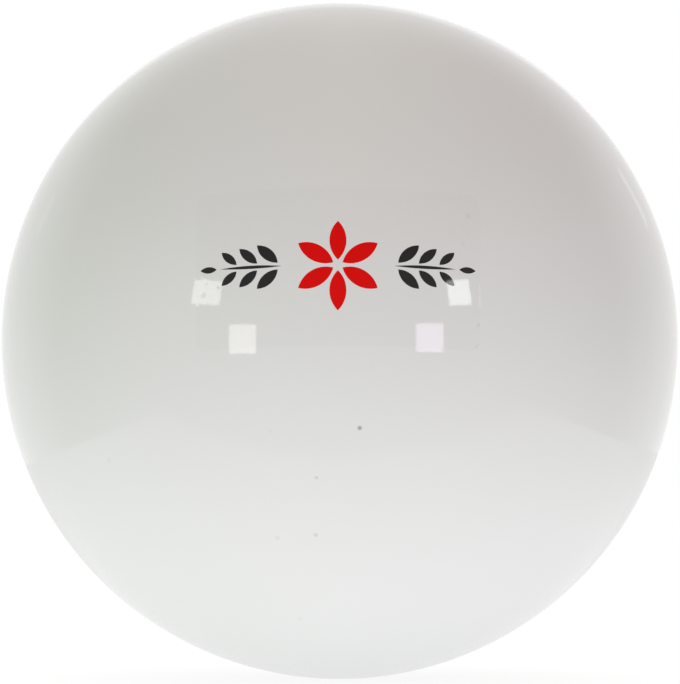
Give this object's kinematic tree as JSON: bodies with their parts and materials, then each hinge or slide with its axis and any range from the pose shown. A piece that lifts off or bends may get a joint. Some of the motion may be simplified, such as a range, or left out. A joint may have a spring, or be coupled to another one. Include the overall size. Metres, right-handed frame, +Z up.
{
  "type": "field hockey ball",
  "caption": "Hard, smooth field hockey ball with a welded glossy vinyl cover over a core of wound twine, cork cups and a cork-rubber centre.",
  "frame": {"origin": "middle of the ball", "axes": "+Y along the axis of the cover cups, square to the seam, -Y out of the printed side; +Z up as the print stands; +X to the right of the print as it is read"},
  "size_m": [0.073, 0.073, 0.073],
  "materials": {
    "cover_vinyl": "glossy white moulded vinyl",
    "bead_vinyl": "white vinyl, buffed flush",
    "twine": "undyed plied wool twine",
    "cork": "pressed cork granules",
    "cork_rubber": "moulded cork granules and rubber"
  },
  "bodies": {
    "root": {"cover_front": "cover_vinyl", "cover_rear": "cover_vinyl", "seam_bead": "bead_vinyl", "outer_winding": "twine", "cork_cup_left": "cork", "cork_cup_right": "cork", "inner_winding": "twine", "cork_centre": "cork_rubber"}
  },
  "joints": []
}
